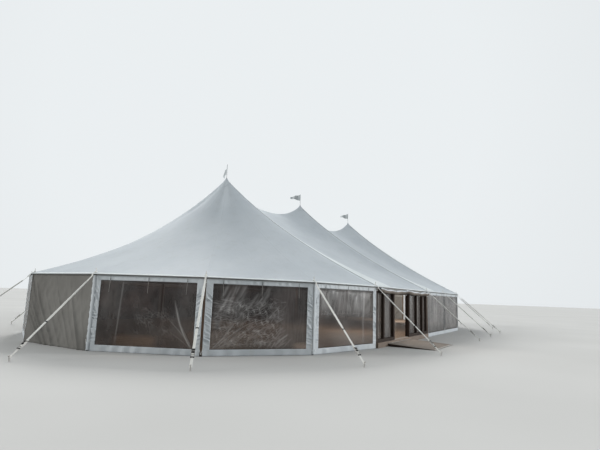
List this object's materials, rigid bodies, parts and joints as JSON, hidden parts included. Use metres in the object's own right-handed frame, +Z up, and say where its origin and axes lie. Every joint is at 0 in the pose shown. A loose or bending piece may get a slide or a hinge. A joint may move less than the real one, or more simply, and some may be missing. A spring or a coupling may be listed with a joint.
{
  "type": "pole marquee tent",
  "caption": "Pole marquee with a white tensile roof on king poles, window walls, guys and stakes, and a glazed timber entrance",
  "frame": {"origin": "on the ground under the middle king pole", "axes": "+X along the ridge from the end with the entrance, -Y towards the entrance side, +Z up"},
  "size_m": [29.9246, 18.1804, 7.1303],
  "materials": {
    "roof_pvc": "white coated cloth, slightly glossy",
    "wall_pvc": "white coated cloth, satin",
    "wall_canvas": "warm grey canvas, matt",
    "clear_pvc": "clear flexible sheet, rippled",
    "door_glazing": "clear glazing",
    "door_timber": "dark stained timber, satin",
    "pole_timber": "brown stained timber, worn",
    "floor_boards": "worn boards",
    "ramp_ply": "weathered plywood",
    "webbing": "white polyester webbing",
    "pennant_cloth": "thin pale cloth",
    "stake_steel": "galvanised steel, worn",
    "dark_webbing": "dark grey webbing",
    "black_fittings": "black coated steel grips, pins and toggles"
  },
  "bodies": {
    "tent": {"back_clear": "clear_pvc", "back_window_wall_1": "wall_pvc", "back_window_wall_2": "wall_pvc", "back_window_wall_3": "wall_pvc", "back_window_wall_4": "wall_pvc", "door_frame": "door_timber", "entrance_ramp": "ramp_ply", "far_end_back_clear": "clear_pvc", "far_end_front_clear": "clear_pvc", "far_end_plain_wall": "wall_canvas", "far_end_window_wall_1": "wall_pvc", "far_end_window_wall_2": "wall_pvc", "far_end_window_wall_3": "wall_pvc", "far_end_window_wall_4": "wall_pvc", "far_end_window_wall_5": "wall_pvc", "far_end_window_wall_6": "wall_pvc", "floor_deck": "floor_boards", "front_clear": "clear_pvc", "front_window_wall_1": "wall_pvc", "front_window_wall_2": "wall_pvc", "guys_back": "webbing", "guys_far_end": "webbing", "guys_front": "webbing", "guys_near_end": "webbing", "king_pole_1": "pole_timber", "king_pole_2": "pole_timber", "king_pole_3": "pole_timber", "near_end_back_clear": "clear_pvc", "near_end_front_clear": "clear_pvc", "near_end_plain_wall": "wall_canvas", "near_end_window_wall_1": "wall_pvc", "near_end_window_wall_2": "wall_pvc", "near_end_window_wall_3": "wall_pvc", "near_end_window_wall_4": "wall_pvc", "near_end_window_wall_5": "wall_pvc", "near_end_window_wall_6": "wall_pvc", "pennant_1": "pennant_cloth", "pennant_2": "pennant_cloth", "pennant_3": "pennant_cloth", "rolled_curtain_1": "wall_pvc", "rolled_curtain_2": "wall_pvc", "roof_far_end": "roof_pvc", "roof_middle_far": "roof_pvc", "roof_middle_near": "roof_pvc", "roof_near_end": "roof_pvc", "side_light_left": "door_glazing", "side_light_right": "door_glazing", "side_poles_back": "pole_timber", "side_poles_far_end": "pole_timber", "side_poles_front": "pole_timber", "side_poles_near_end": "pole_timber"},
    "door_left": {"door_leaf_left": "door_timber", "door_glass_left": "door_glazing"},
    "door_right": {"door_leaf_right": "door_timber", "door_glass_right": "door_glazing"}
  },
  "joints": [
    {"name": "door_left_hinge", "type": "hinge", "parent": "tent", "child": "door_left", "pos_m": [-4.28, -6.77514, 0.9], "axis": [0, 0, -1], "range_deg": [0, 180]},
    {"name": "door_right_hinge", "type": "hinge", "parent": "tent", "child": "door_right", "pos_m": [-2.62, -6.77514, 0.9], "axis": [0, 0, 1], "range_deg": [0, 180]}
  ]
}
